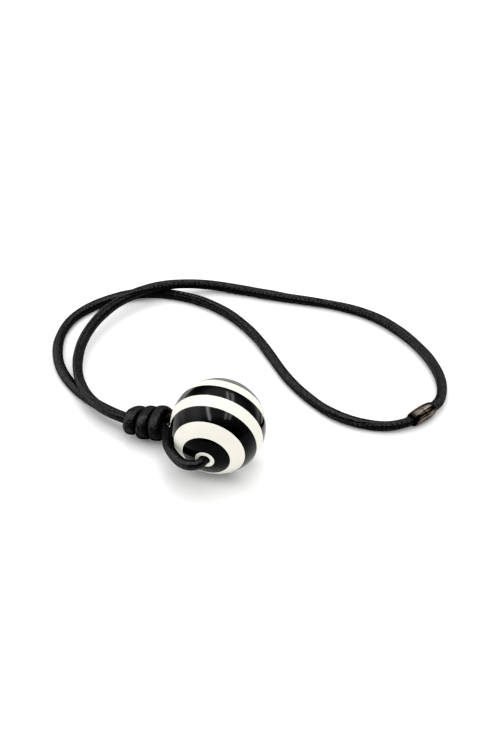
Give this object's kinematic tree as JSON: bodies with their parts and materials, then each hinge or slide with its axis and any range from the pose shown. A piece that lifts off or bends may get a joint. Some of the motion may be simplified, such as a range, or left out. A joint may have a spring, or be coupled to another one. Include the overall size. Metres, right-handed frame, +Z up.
{
  "type": "leather cord necklace",
  "caption": "Long round leather cord doubled through a large banded ball bead, wrapped with a coil knot and closed by a small barrel clasp, lying on a flat surface.",
  "frame": {"origin": "the point on the flat surface that the ball rests on, directly below the ball's middle", "axes": "+Z up from the surface the necklace lies on, -Y towards the side that the front mouth of the ball's hole looks to, +X to the right, where the clasp lies"},
  "size_m": [0.2047, 0.1691, 0.048],
  "materials": {
    "leather": "satin",
    "ivory_gloss": "gloss",
    "black_gloss": "gloss",
    "dark_metal": "polished"
  },
  "bodies": {
    "root": {"ball": "ivory_gloss", "black_band_1": "black_gloss", "black_band_2": "black_gloss", "black_band_3": "black_gloss", "black_band_4": "black_gloss", "black_band_5": "black_gloss", "cord_front_run": "leather", "cord_back_run": "leather", "bead_loop": "leather", "knot": "leather", "clasp_half_left": "dark_metal", "clasp_half_right": "dark_metal"}
  },
  "joints": []
}
